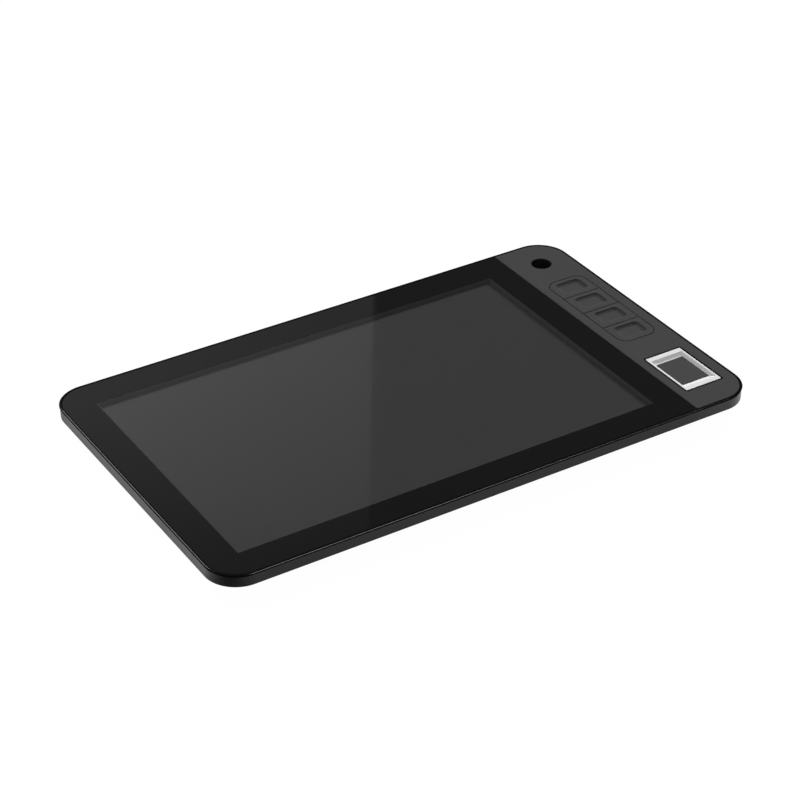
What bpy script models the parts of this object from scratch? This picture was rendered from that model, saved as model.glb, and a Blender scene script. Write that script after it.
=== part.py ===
# A counter signature pad: a ten inch pen display under glass, with four keys, a fingerprint reader and a
# hole for the pen in a strip at its right. Metres, +Z up, +X towards the strip, -Y towards the writer.
import math

import bmesh
import bpy

# Sizes of the body. Its depth and its height are worked out below from what stands along them.
body_width = 0.2825
corner_radius = 0.016
side_wall_depth = 0.0058

# Clearances between neighbouring pieces
seat_gap = 0.0003
film_gap = 0.00015
board_gap = 0.0004

# Rim ring round the glass and the strip
rim_width = 0.0012
rim_height = 0.0009
rim_round = 0.0004
rim_overhang = 0.0004

# Cover glass, the black border film under it and the tape
glass_drop = 0.0001
glass_thickness = 0.0011
edge_chamfer = 0.00015
border_thickness = 0.00015
border_margin = 0.0003
tape_thickness = 0.0003
tape_margin = 0.0006

# Clear window in the black border of the glass
window_left_margin = 0.0164
window_right_margin = 0.0142
window_near_margin = 0.0161
window_far_margin = 0.0175

# Display, from the glass down
display_air_gap = 0.0017
display_margin_x = 0.0057
display_margin_y = 0.0063
bezel_sheet = 0.0002
bezel_wall = 0.0003
cell_thickness = 0.0011
cell_margin = 0.0012
backlight_thickness = 0.0027
digitizer_thickness = 0.0008
shield_thickness = 0.0004
shield_margin = 0.0025

# Housing with the side wall and the ledge that carries the glass
housing_wall = 0.0016
housing_lip = 0.0009
ledge_thickness = 0.0018
wall_edge_round = 0.0005
pillar_radius = 0.0022

# Rear cover, a shallow pan
floor_thickness = 0.0015
floor_room = 0.00065
foot_stand = 0.001
pan_step_in = 0.0012
pan_rim = 0.0003
pan_run = 0.0099
pan_slope_wall = 0.0031
pan_edge_round = 0.0006
lip_height = 0.0011
lip_wall = 0.0012

# Rubber feet
foot_radius = 0.006
foot_recess = 0.0006
foot_inset = 0.026
foot_edge = 0.0005

# Case screws and the wells that they sit in
screw_inset = 0.0062
screw_end_margin = 0.025
shank_radius = 0.0011
head_radius = 0.0024
head_height = 0.0013
drive_radius = 0.0009
drive_depth = 0.0007
well_radius = 0.0027
well_wall = 0.0006
well_floor = 0.0012
well_rise = 0.0013
boss_radius = 0.0028
screw_bite = 0.0018

# Side panel and the pen hole
pen_hole_radius = 0.005
pen_hole_shift = 0.0002
pen_far_space = 0.0143
pen_socket_wall = 0.001
pen_socket_depth = 0.0079
pen_flange_width = 0.0013
pen_flange_thickness = 0.0006

# Four keys
key_count = 4
key_width = 0.0211
key_pitch = 0.01635
key_gap = 0.00035
key_thickness = 0.0022
key_group_radius = 0.0055
key_left_space = 0.0052
key_right_space = 0.0069
key_pen_space = 0.0145
key_flange_width = 0.0009
key_flange_thickness = 0.0005
key_edge = 0.00015
key_travel = 0.00035
dish_width = 0.0145
dish_length = 0.0108
dish_radius = 0.0025
dish_depth = 0.0009
dish_slope = 0.0012

# Tact switches under the keys
switch_size = 0.006
switch_height = 0.0019
plunger_radius = 0.0016
plunger_height = 0.0018
plunger_clearance = 0.00035
plunger_sink = 0.0009
plunger_floor_gap = 0.00015

# Fingerprint reader
reader_width = 0.0205
reader_length = 0.0321
reader_shift = 0.00035
reader_near_space = 0.0169
reader_key_space = 0.0168
reader_gap = 0.0005
reader_radius = 0.001
reader_side_flat = 0.00095
reader_end_flat = 0.0034
reader_pad_width = 0.0152
reader_pad_length = 0.0195
reader_pad_drop = 0.0011
reader_pad_gap = 0.0002
reader_collar = 0.0012
reader_flange_width = 0.0011
reader_flange_thickness = 0.0006
sensor_flange_width = 0.0016
sensor_flange_thickness = 0.0009
module_thickness = 0.0016
reader_board_thickness = 0.0009
reader_board_margin = 0.0003
reader_post_radius = 0.002
reader_post_share = 0.28

# Main board, its screws and the parts on it
board_thickness = 0.0009
board_left_gap = 0.0028
board_right_margin = 0.0101
board_near_margin = 0.005
board_far_margin = 0.006
board_arm_gap = 0.001
pillar_from_lcd = 0.0061
board_shank_radius = 0.0009
board_head_radius = 0.0017
board_head_height = 0.001
board_hole_clearance = 0.0003
can_size = 0.016
can_height = 0.0018
can_radius = 0.001
can_space = 0.0007

# Data socket in the far wall
socket_width = 0.009
socket_height = 0.0032
socket_length = 0.0074
socket_shell = 0.00035
socket_pocket = 0.0052
socket_tongue_width = 0.0067
socket_tongue_height = 0.0007
socket_tongue_length = 0.0042
socket_from_strip = 0.0014
socket_recess = 0.0009
port_gap = 0.0002

# Flat cables between the boards
cable_thickness = 0.0002
display_cable_width = 0.022
digitizer_cable_width = 0.014
reader_cable_width = 0.007
cable_reach = 0.0045
connector_depth = 0.0016
connector_height = 0.0009
connector_side = 0.0008

# How finely round shapes are cut
large_corner_steps = 8
small_corner_steps = 4
circle_steps = 20
screw_steps = 12
smooth_angle = math.radians(32)
least_radius = 0.0002
cut_overrun = 0.001

# Heights, from the ground up
floor_top = foot_stand + floor_thickness
shield_bottom = floor_top + floor_room
digitizer_bottom = shield_bottom + shield_thickness + board_gap
backlight_bottom = digitizer_bottom + digitizer_thickness + board_gap
cell_bottom = backlight_bottom + backlight_thickness + film_gap
display_top = cell_bottom + cell_thickness
bezel_top = display_top + film_gap + bezel_sheet
glass_bottom = display_top + display_air_gap
glass_top = glass_bottom + glass_thickness
body_height = glass_top + glass_drop
border_top = glass_bottom - film_gap
panel_bottom = border_top - border_thickness
ledge_top = panel_bottom - tape_thickness - 2 * film_gap
ledge_bottom = ledge_top - ledge_thickness
rim_bottom = body_height - rim_height
wall_top = rim_bottom - seat_gap
wall_bottom = body_height - side_wall_depth
pan_top = wall_bottom - seat_gap

# Depth of the body, along the strip, and the width of the strip across the keys
key_group_length = key_count * key_pitch
reader_and_keys = reader_near_space + reader_length + reader_key_space + key_group_length
body_depth = reader_and_keys + key_pen_space + 2 * pen_hole_radius + pen_far_space
key_opening_width = key_width + 2 * key_gap
strip_width = key_left_space + key_opening_width + key_right_space

# Plan of the body, with its centre at the origin
right_side = body_width / 2
left_side = -right_side
far_side = body_depth / 2
near_side = -far_side


# Plan shapes

class Area:
    """A rectangle in plan, with a radius for its near right, far right, far left and near left corner."""

    def __init__(self, left, near, right, far, radius, steps=small_corner_steps):
        self.left = left
        self.near = near
        self.right = right
        self.far = far
        self.radii = radius if isinstance(radius, tuple) else (radius,) * 4
        self.steps = steps

    def grown(self, margin, margin_y=None):
        margin_y = margin if margin_y is None else margin_y
        radii = tuple(max(radius + min(margin, margin_y), least_radius) for radius in self.radii)
        return Area(
            self.left - margin,
            self.near - margin_y,
            self.right + margin,
            self.far + margin_y,
            radii,
            self.steps,
        )

    def at(self, height):
        corners = (
            (self.right, self.near, 1, -1, -math.pi / 2),
            (self.right, self.far, 1, 1, 0),
            (self.left, self.far, -1, 1, math.pi / 2),
            (self.left, self.near, -1, -1, math.pi),
        )
        ring = []
        for (x, y, side_x, side_y, start), radius in zip(corners, self.radii):
            for step in range(self.steps + 1):
                angle = start + math.pi / 2 * step / self.steps
                across = x - side_x * radius + radius * math.cos(angle)
                along = y - side_y * radius + radius * math.sin(angle)
                ring.append((across, along, height))
        return ring


def centred(width, length, radius, steps=small_corner_steps):
    return Area(-width / 2, -length / 2, width / 2, length / 2, radius, steps)


def circle(radius, height, x=0, y=0, steps=circle_steps):
    turns = [2 * math.pi * step / steps for step in range(steps)]
    return [(x + radius * math.cos(turn), y + radius * math.sin(turn), height) for turn in turns]


def outline_at(points, height):
    return [(x, y, height) for x, y in points]


body = Area(left_side, near_side, right_side, far_side, corner_radius, large_corner_steps)
glass_edge_gap = seat_gap
inside_rim = body.grown(-rim_width - glass_edge_gap)
divide = right_side - strip_width
half_divide = seat_gap / 2
edge_radius = inside_rim.radii[0]
glass_area = Area(
    inside_rim.left,
    inside_rim.near,
    divide - half_divide,
    inside_rim.far,
    (least_radius, least_radius, edge_radius, edge_radius),
    large_corner_steps,
)
strip_area = Area(
    divide + half_divide,
    inside_rim.near,
    inside_rim.right,
    inside_rim.far,
    (edge_radius, edge_radius, least_radius, least_radius),
    large_corner_steps,
)
window_area = Area(
    left_side + window_left_margin,
    near_side + window_near_margin,
    divide - window_right_margin,
    far_side - window_far_margin,
    least_radius,
)
display_area = window_area.grown(display_margin_x, display_margin_y)
key_x = right_side - key_right_space - key_opening_width / 2
reader_x = key_x - reader_shift
pen_x = key_x + pen_hole_shift
reader_y = near_side + reader_near_space + reader_length / 2
reader_far = reader_y + reader_length / 2
key_group_near = reader_far + reader_key_space
key_group_far = key_group_near + key_group_length
pen_y = far_side - pen_far_space - pen_hole_radius
socket_x = divide + socket_from_strip
pillar_x = display_area.right + pillar_from_lcd
reader_bridge_y = (reader_far + key_group_near) / 2
pen_flange_radius = pen_hole_radius + pen_socket_wall + pen_flange_width
pen_bridge_y = (key_group_far + pen_y - pen_flange_radius) / 2

# Heights in the strip, from the panel down
key_bottom = glass_top - key_thickness
plunger_top = key_bottom - seat_gap
switch_top = plunger_top - plunger_height + plunger_sink
switch_bottom = switch_top - switch_height
board_top = switch_bottom - film_gap
board_bottom = board_top - board_thickness
reader_pad_top = glass_top - reader_pad_drop
reader_bottom = reader_pad_top - reader_collar
sensor_flange_top = reader_bottom - seat_gap
module_top = sensor_flange_top - sensor_flange_thickness - seat_gap
reader_board_top = module_top - module_thickness - seat_gap
reader_board_bottom = reader_board_top - reader_board_thickness
pen_flange_top = panel_bottom - seat_gap
pen_floor = glass_top - pen_socket_depth

# Case screw places along the near and far sides, and one at each end
screw_row_near = near_side + screw_inset
screw_row_far = far_side - screw_inset
screw_first_x = left_side + screw_end_margin
screw_last_x = display_area.right - boss_radius
screw_places = [
    (screw_first_x, screw_row_near),
    ((screw_first_x + screw_last_x) / 2, screw_row_near),
    (screw_last_x, screw_row_near),
    (screw_last_x, screw_row_far),
    ((screw_first_x + screw_last_x) / 2, screw_row_far),
    (screw_first_x, screw_row_far),
    (left_side + screw_inset, 0),
    (right_side - screw_inset, reader_bridge_y),
]
well_top = pan_top + well_rise
well_ceiling = well_top - well_floor
head_top = well_ceiling - seat_gap
boss_bottom = well_top + seat_gap
screw_tip = boss_bottom + screw_bite

# Board screw places
board_right = right_side - board_right_margin
board_screw_x = board_right - pillar_radius
board_screw_places = [
    (pillar_x, reader_bridge_y),
    (board_screw_x, reader_bridge_y),
    (pillar_x, pen_bridge_y),
    (board_screw_x, pen_bridge_y),
]
board_left = display_area.right + board_left_gap
cable_landing = board_left + cable_reach
connector_start = cable_landing + film_gap
connector_end = connector_start + connector_depth
board_head_top = board_bottom - seat_gap
pillar_bottom = board_top + seat_gap
board_screw_tip = ledge_bottom + board_hole_clearance


# Materials

def finish(name, colour, roughness, metallic=0.0, transmission=0.0):
    material = bpy.data.materials.new(name)
    material.use_nodes = True
    shader = material.node_tree.nodes["Principled BSDF"]
    shader.inputs["Base Color"].default_value = (*colour, 1)
    shader.inputs["Roughness"].default_value = roughness
    shader.inputs["Metallic"].default_value = metallic
    shader.inputs["Transmission Weight"].default_value = transmission
    return material


# Modelling helpers

def skin(rings, closed=False):
    """A mesh that joins a run of rings, each with as many points. Its ends are capped unless it closes."""
    shape = bmesh.new()
    loops = [[shape.verts.new(point) for point in ring] for ring in rings]
    pairs = list(zip(loops, loops[1:]))
    if closed:
        pairs.append((loops[-1], loops[0]))
    for first, second in pairs:
        for index in range(len(first)):
            following = (index + 1) % len(first)
            shape.faces.new((first[index], first[following], second[following], second[index]))
    if not closed:
        shape.faces.new(loops[0])
        shape.faces.new(loops[-1])
    bmesh.ops.recalc_face_normals(shape, faces=shape.faces)
    mesh = bpy.data.meshes.new("shape")
    shape.to_mesh(mesh)
    shape.free()
    mesh.shade_smooth()
    mesh.set_sharp_from_angle(angle=smooth_angle)
    return mesh


def piece(name, mesh, material, place=(0, 0, 0), parent=None):
    """An object of its own for one physical piece."""
    if not mesh.materials:
        mesh.materials.append(material)
    obj = bpy.data.objects.new(name, mesh)
    bpy.context.collection.objects.link(obj)
    obj.location = place
    obj.parent = parent
    return obj


def tool(name, mesh):
    """A helper solid that joins or cuts a piece and isn't part of the object."""
    obj = bpy.data.objects.new(name, mesh)
    bpy.context.collection.objects.link(obj)
    obj.hide_render = True
    obj.display_type = "WIRE"
    return obj


def combine(obj, helper, operation):
    modifier = obj.modifiers.new(helper.name, "BOOLEAN")
    modifier.operation = operation
    modifier.object = helper


def prism(area, bottom, top):
    return skin([area.at(bottom), area.at(top)])


def frame(outer, inner, bottom, top):
    return skin([outer.at(bottom), outer.at(top), inner.at(top), inner.at(bottom)], closed=True)


def column(x, y, radius, bottom, top):
    return skin([circle(radius, bottom, x, y), circle(radius, top, x, y)])


def sheet(route, width, thickness, across):
    """A flat cable along a route of (run, height) points. Across is the axis of its width."""
    lower = [(run, height) for run, height in route]
    upper = [(run, height + thickness) for run, height in reversed(route)]
    section = lower + upper
    if across == "y":
        return skin([[(run, side, height) for run, height in section] for side in width])
    return skin([[(side, run, height) for run, height in section] for side in width])


# Rim, glass and panel

def make_rim_ring(material):
    inner = -rim_width
    half_round = rim_round * (1 - math.sqrt(0.5))
    rings = [
        body.at(rim_bottom),
        body.at(body_height - rim_round),
        body.grown(-half_round).at(body_height - half_round),
        body.grown(-rim_round).at(body_height),
        body.grown(inner + edge_chamfer).at(body_height),
        body.grown(inner).at(body_height - edge_chamfer),
        body.grown(inner).at(rim_bottom),
    ]
    piece("rim_ring", skin(rings, closed=True), material)


def chamfered(area, bottom):
    """A plate whose top edge is chamfered, level with the glass."""
    return skin([area.at(bottom), area.at(glass_top - edge_chamfer), area.grown(-edge_chamfer).at(glass_top)])


def make_cover_glass(material):
    piece("cover_glass", chamfered(glass_area, glass_bottom), material)


def make_border_film(material):
    outer = glass_area.grown(-border_margin)
    inner = Area(
        window_area.left,
        window_area.near,
        window_area.right,
        window_area.far,
        least_radius,
        large_corner_steps,
    )
    piece("border_film", frame(outer, inner, panel_bottom, border_top), material)


def tape_heights():
    bottom = ledge_top + film_gap
    return bottom, bottom + tape_thickness


def make_glass_tape(material):
    outer = glass_area.grown(-tape_margin)
    inner = Area(
        display_area.left - tape_margin,
        display_area.near - tape_margin,
        display_area.right + tape_margin,
        display_area.far + tape_margin,
        least_radius,
        large_corner_steps,
    )
    piece("glass_tape", frame(outer, inner, *tape_heights()), material)


def key_opening():
    half = key_opening_width / 2
    radius = key_group_radius + key_gap
    return Area(key_x - half, key_group_near, key_x + half, key_group_far, radius, large_corner_steps)


def reader_opening():
    half_width = reader_width / 2 + reader_gap
    half_length = reader_length / 2 + reader_gap
    return Area(
        reader_x - half_width,
        reader_y - half_length,
        reader_x + half_width,
        reader_y + half_length,
        reader_radius + reader_gap,
    )


def make_side_panel(material):
    panel = piece("side_panel", chamfered(strip_area, panel_bottom), material)
    low = panel_bottom - cut_overrun
    high = glass_top + cut_overrun
    combine(panel, tool("key_opening_cut", prism(key_opening(), low, high)), "DIFFERENCE")
    combine(panel, tool("reader_opening_cut", prism(reader_opening(), low, high)), "DIFFERENCE")
    combine(panel, tool("pen_hole_cut", column(pen_x, pen_y, pen_hole_radius, low, high)), "DIFFERENCE")


def key_bay():
    """The opening in the ledge under the keys."""
    side = key_opening_width / 2 + key_flange_width + seat_gap
    return Area(key_x - side, key_group_near - seat_gap, key_x + side, key_group_far + seat_gap, least_radius)


def reader_bay():
    """The opening in the ledge under the fingerprint reader."""
    margin = reader_flange_width + seat_gap
    half_width = reader_width / 2 + margin
    half_length = reader_length / 2 + margin
    return Area(
        reader_x - half_width,
        reader_y - half_length,
        reader_x + half_width,
        reader_y + half_length,
        least_radius,
    )


def make_panel_tape(material):
    outer = strip_area.grown(-tape_margin)
    inner = Area(
        min(key_bay().left, reader_bay().left),
        reader_bay().near - tape_margin,
        max(key_bay().right, reader_bay().right),
        pen_y + pen_flange_radius + tape_margin,
        least_radius,
        large_corner_steps,
    )
    piece("panel_tape", frame(outer, inner, *tape_heights()), material)


# Housing

def make_housing(material):
    outside = body.grown(-rim_overhang)
    inside = body.grown(-rim_overhang - housing_wall)
    lip_inside = body.grown(-rim_overhang - housing_lip)
    half_round = wall_edge_round * (1 - math.sqrt(0.5))
    rings = [
        lip_inside.at(ledge_top),
        lip_inside.at(wall_top),
        outside.at(wall_top),
        outside.at(wall_bottom + wall_edge_round),
        outside.grown(-half_round).at(wall_bottom + half_round),
        outside.grown(-wall_edge_round).at(wall_bottom),
        inside.at(wall_bottom),
        inside.at(ledge_bottom),
    ]
    housing = piece("housing", skin(rings), material)
    low = ledge_bottom - cut_overrun
    high = ledge_top + cut_overrun
    cuts = {
        "display_bay_cut": prism(display_area.grown(seat_gap), low, high),
        "reader_bay_cut": prism(reader_bay(), low, high),
        "key_bay_cut": prism(key_bay(), low, high),
        "pen_bay_cut": column(pen_x, pen_y, pen_flange_radius + seat_gap, low, high),
    }
    for name, mesh in cuts.items():
        combine(housing, tool(name, mesh), "DIFFERENCE")
    for index, (x, y) in enumerate(screw_places, 1):
        boss = column(x, y, boss_radius, boss_bottom, ledge_bottom + film_gap)
        combine(housing, tool(f"case_boss_{index}", boss), "UNION")
    for index, (x, y) in enumerate(board_screw_places, 1):
        pillar = column(x, y, pillar_radius, pillar_bottom, ledge_bottom + film_gap)
        combine(housing, tool(f"board_pillar_{index}", pillar), "UNION")
    for index, (x, y) in enumerate(screw_places, 1):
        bore = column(x, y, shank_radius + seat_gap, boss_bottom - cut_overrun, screw_tip + film_gap)
        combine(housing, tool(f"case_bore_{index}", bore), "DIFFERENCE")
    for index, (x, y) in enumerate(board_screw_places, 1):
        radius = board_shank_radius + board_hole_clearance
        bore = column(x, y, radius, pillar_bottom - cut_overrun, board_screw_tip + film_gap)
        combine(housing, tool(f"board_bore_{index}", bore), "DIFFERENCE")
    cut_port(housing)


def socket_ring(y, width, height, radius):
    """A rounded outline of the data socket, standing across the far wall."""
    middle = socket_bottom() + socket_height / 2
    area = centred(width, height, radius)
    return [(socket_x + across, y, middle + up) for across, up, _ in area.at(0)]


def socket_bottom():
    return board_top + seat_gap


def cut_port(housing):
    width = socket_width + 2 * port_gap
    height = socket_height + 2 * port_gap
    radius = height / 2 - port_gap
    port = skin(
        [
            socket_ring(far_side - socket_recess - socket_length, width, height, radius),
            socket_ring(far_side + cut_overrun, width, height, radius),
        ]
    )
    combine(housing, tool("port_cut", port), "DIFFERENCE")
    bay = Area(
        socket_x - socket_width / 2 - seat_gap,
        far_side - socket_recess - socket_length - seat_gap,
        socket_x + socket_width / 2 + seat_gap,
        far_side - rim_overhang - housing_wall,
        least_radius,
    )
    bay_cut = prism(bay, ledge_bottom - cut_overrun, ledge_top + cut_overrun)
    combine(housing, tool("socket_bay_cut", bay_cut), "DIFFERENCE")


# Rear cover

def pan_inside(inset):
    return body.grown(-pan_step_in - inset)


def make_rear_cover(material):
    bottom_inset = pan_run + pan_edge_round
    pan_drop = pan_top - pan_rim - foot_stand
    edge_drop = pan_edge_round * pan_drop / pan_run
    rings = [
        pan_inside(0).at(pan_top),
        pan_inside(0).at(pan_top - pan_rim),
        pan_inside(pan_run - pan_edge_round).at(foot_stand + edge_drop / 2),
        pan_inside(bottom_inset).at(foot_stand),
    ]
    cover = piece("rear_cover", skin(rings), material)

    cavity_rings = [
        pan_inside(pan_slope_wall).at(pan_top + cut_overrun),
        pan_inside(pan_slope_wall).at(pan_top),
        pan_inside(bottom_inset).at(floor_top),
    ]
    cavity = tool("pan_cavity", skin(cavity_rings))
    for index, (x, y) in enumerate(screw_places, 1):
        post = column(x, y, well_radius + well_wall, foot_stand, pan_top + 2 * cut_overrun)
        combine(cavity, tool(f"well_post_{index}", post), "DIFFERENCE")
    combine(cover, cavity, "DIFFERENCE")

    lip_outer = body.grown(-rim_overhang - housing_wall - seat_gap)
    lip_inner = lip_outer.grown(-lip_wall)
    lip = frame(lip_outer, lip_inner, pan_top - pan_rim, pan_top + lip_height)
    combine(cover, tool("locating_lip", lip), "UNION")
    for index, (x, y) in enumerate(screw_places, 1):
        post = column(x, y, well_radius + well_wall - film_gap, pan_top - pan_rim, well_top)
        combine(cover, tool(f"well_tower_{index}", post), "UNION")
    for index, (x, y) in enumerate(reader_post_places(), 1):
        root = floor_top - floor_thickness / 2
        post = column(x, y, reader_post_radius, root, reader_board_bottom - seat_gap)
        combine(cover, tool(f"reader_post_{index}", post), "UNION")

    notch = Area(
        socket_x - socket_width / 2 - seat_gap,
        far_side - socket_recess - socket_length,
        socket_x + socket_width / 2 + seat_gap,
        far_side,
        least_radius,
    )
    notch_cut = prism(notch, pan_top + film_gap, pan_top + lip_height + cut_overrun)
    combine(cover, tool("lip_notch_cut", notch_cut), "DIFFERENCE")
    for index, (x, y) in enumerate(screw_places, 1):
        well = column(x, y, well_radius, foot_stand - cut_overrun, well_ceiling)
        combine(cover, tool(f"well_cut_{index}", well), "DIFFERENCE")
        bore = column(x, y, shank_radius + seat_gap, well_ceiling - cut_overrun, well_top + cut_overrun)
        combine(cover, tool(f"well_bore_{index}", bore), "DIFFERENCE")
    for index, (x, y) in enumerate(foot_places(), 1):
        ceiling = foot_stand + foot_recess + seat_gap
        recess = column(x, y, foot_radius + seat_gap, foot_stand - cut_overrun, ceiling)
        combine(cover, tool(f"foot_recess_{index}", recess), "DIFFERENCE")


def reader_post_places():
    reach = reader_length * reader_post_share
    return [(reader_x, reader_y - reach), (reader_x, reader_y + reach)]


def foot_places():
    x = right_side - foot_inset
    y = far_side - foot_inset
    return [(-x, -y), (x, -y), (x, y), (-x, y)]


def make_feet(material):
    top = foot_stand + foot_recess
    rings = [
        circle(foot_radius - foot_edge, 0),
        circle(foot_radius, foot_edge),
        circle(foot_radius, top),
    ]
    mesh = skin(rings)
    for index, (x, y) in enumerate(foot_places(), 1):
        piece(f"foot_{index}", mesh, material, (x, y, 0))


# Fasteners

def screw_mesh(head_radius, head_height, shank_radius, length):
    """A pan head screw, with the head's seat at its origin and the shank upwards."""
    drive_top = min(drive_depth, head_height / 2) - head_height
    profile = [
        (drive_radius / 2, drive_top),
        (drive_radius, -head_height),
        (head_radius - edge_chamfer, -head_height),
        (head_radius, edge_chamfer - head_height),
        (head_radius, 0),
        (shank_radius, 0),
        (shank_radius, length - edge_chamfer),
        (shank_radius - edge_chamfer, length),
    ]
    return skin([circle(radius, height, steps=screw_steps) for radius, height in profile])


def make_screws(material):
    case_mesh = screw_mesh(head_radius, head_height, shank_radius, screw_tip - head_top)
    for index, (x, y) in enumerate(screw_places, 1):
        piece(f"case_screw_{index}", case_mesh, material, (x, y, head_top))
    length = board_screw_tip - board_head_top
    board_mesh = screw_mesh(board_head_radius, board_head_height, board_shank_radius, length)
    for index, (x, y) in enumerate(board_screw_places, 1):
        piece(f"board_screw_{index}", board_mesh, material, (x, y, board_head_top))


# Display stack

def make_dust_seal(material):
    bottom = bezel_top + film_gap
    top = panel_bottom - film_gap
    outer = display_area.grown(-seat_gap)
    inner = window_area.grown(film_gap)
    piece("dust_seal", frame(outer, inner, bottom, top), material)


def make_display(bezel_material, cell_material, backlight_material):
    lip_inner = window_area.grown(film_gap)
    wall_inner = display_area.grown(-bezel_wall)
    rings = [
        display_area.at(backlight_bottom),
        display_area.at(bezel_top),
        lip_inner.at(bezel_top),
        lip_inner.at(bezel_top - bezel_sheet),
        wall_inner.at(bezel_top - bezel_sheet),
        wall_inner.at(backlight_bottom),
    ]
    piece("display_bezel", skin(rings, closed=True), bezel_material)
    cell = wall_inner.grown(-cell_margin)
    piece("display_cell", prism(cell, cell_bottom, display_top), cell_material)
    light = wall_inner.grown(-seat_gap)
    light_top = backlight_bottom + backlight_thickness
    piece("display_backlight", prism(light, backlight_bottom, light_top), backlight_material)


def make_digitizer(board_material, shield_material):
    board = display_area.grown(-bezel_wall)
    top = digitizer_bottom + digitizer_thickness
    piece("digitizer_board", prism(board, digitizer_bottom, top), board_material)
    shield = display_area.grown(-shield_margin)
    shield_top = shield_bottom + shield_thickness
    piece("shield_plate", prism(shield, shield_bottom, shield_top), shield_material)


# Keys and switches

def key_y(index):
    return key_group_near + key_pitch * (index + 1 / 2)


def key_area(index, margin_x=0):
    """Plan of one key about its own centre. The outer corners of the group are round."""
    near_radius = key_group_radius if index == 0 else least_radius
    far_radius = key_group_radius if index == key_count - 1 else least_radius
    half_width = key_width / 2 + margin_x
    half_length = (key_pitch - key_gap) / 2
    radii = (near_radius, far_radius, far_radius, near_radius)
    return Area(-half_width, -half_length, half_width, half_length, radii)


def key_mesh(index):
    flange = key_area(index, key_flange_width)
    cap = key_area(index)
    dish = centred(dish_width, dish_length, dish_radius)
    dish_floor = dish.grown(-dish_slope)
    rings = [
        flange.at(0),
        flange.at(key_flange_thickness),
        cap.at(key_flange_thickness),
        cap.at(key_thickness - key_edge),
        cap.grown(-key_edge).at(key_thickness),
        dish.at(key_thickness),
        dish_floor.at(key_thickness - dish_depth),
    ]
    return skin(rings)


def make_keys(key_material, plunger_material, switch_material):
    shape = centred(switch_size, switch_size, least_radius)
    for index in range(key_count):
        number = index + 1
        axis = bpy.data.objects.new(f"key_axis_{number}", None)
        bpy.context.collection.objects.link(axis)
        axis.location = (key_x, key_y(index), key_bottom)
        piece(f"key_cap_{number}", key_mesh(index), key_material, parent=axis)
        plunger = column(0, 0, plunger_radius, -seat_gap - plunger_height, -seat_gap)
        piece(f"switch_plunger_{number}", plunger, plunger_material, parent=axis)
        bore_radius = plunger_radius + plunger_clearance
        well_bottom = switch_top - plunger_sink - key_travel - plunger_floor_gap
        place = (key_x, key_y(index), 0)
        body_mesh = prism(shape, switch_bottom, switch_top)
        switch = piece(f"switch_body_{number}", body_mesh, switch_material, place)
        well = column(key_x, key_y(index), bore_radius, well_bottom, switch_top + cut_overrun)
        combine(switch, tool(f"switch_well_{number}", well), "DIFFERENCE")


# Fingerprint reader

def reader_outline(margin=0):
    return centred(reader_width, reader_length, reader_radius).grown(margin)


def make_reader(surround_material, sensor_material, module_material, board_material):
    flats = centred(reader_width - 2 * reader_side_flat, reader_length - 2 * reader_end_flat, reader_radius)
    opening = centred(reader_pad_width, reader_pad_length, least_radius)
    flange = reader_outline(reader_flange_width)
    flange_top = reader_bottom + reader_flange_thickness
    rings = [
        flange.at(reader_bottom),
        flange.at(flange_top),
        reader_outline().at(flange_top),
        reader_outline().at(glass_top - edge_chamfer),
        reader_outline(-edge_chamfer).at(glass_top),
        flats.at(glass_top),
        opening.at(reader_pad_top),
        opening.at(reader_bottom),
    ]
    place = (reader_x, reader_y, 0)
    piece("fingerprint_surround", skin(rings, closed=True), surround_material, place)

    pad = opening.grown(-reader_pad_gap)
    sensor_flange = opening.grown(sensor_flange_width)
    sensor_rings = [
        sensor_flange.at(sensor_flange_top - sensor_flange_thickness),
        sensor_flange.at(sensor_flange_top),
        pad.at(sensor_flange_top),
        pad.at(reader_pad_top),
    ]
    piece("fingerprint_sensor", skin(sensor_rings), sensor_material, place)
    module = prism(sensor_flange, module_top - module_thickness, module_top)
    piece("fingerprint_module", module, module_material, place)
    board = reader_outline(-reader_board_margin)
    board_mesh = prism(board, reader_board_bottom, reader_board_top)
    piece("fingerprint_board", board_mesh, board_material, place)


# Pen socket

def make_pen_socket(material):
    inner = pen_hole_radius
    outer = inner + pen_socket_wall
    flange_bottom = pen_flange_top - pen_flange_thickness
    rings = [
        circle(inner, pen_floor),
        circle(inner, pen_flange_top),
        circle(pen_flange_radius, pen_flange_top),
        circle(pen_flange_radius, flange_bottom),
        circle(outer, flange_bottom),
        circle(outer, pen_floor - pen_socket_wall),
    ]
    piece("pen_socket", skin(rings), material, (pen_x, pen_y, 0))


# Main board and what is on it

def make_main_board(board_material, can_material, socket_material):
    near = reader_far + board_near_margin
    arm_near = pen_bridge_y + pillar_radius + board_hole_clearance
    arm_right = pen_x - pen_hole_radius - pen_socket_wall - board_arm_gap
    far = far_side - board_far_margin
    outline = [
        (board_left, near),
        (board_right, near),
        (board_right, arm_near),
        (arm_right, arm_near),
        (arm_right, far),
        (board_left, far),
    ]
    mesh = skin([outline_at(outline, board_bottom), outline_at(outline, board_top)])
    board = piece("main_board", mesh, board_material)
    for index, (x, y) in enumerate(board_screw_places, 1):
        radius = board_shank_radius + board_hole_clearance
        hole = column(x, y, radius, board_bottom - cut_overrun, board_top + cut_overrun)
        combine(board, tool(f"board_hole_{index}", hole), "DIFFERENCE")
    can = centred(can_size, can_size, can_radius)
    can_top = board_bottom - seat_gap
    can_mesh = prism(can, can_top - can_height, can_top)
    can_x = connector_end + can_space + can_size / 2
    piece("processor_shield", can_mesh, can_material, (can_x, (key_group_near + key_group_far) / 2, 0))
    make_data_socket(socket_material)


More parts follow.
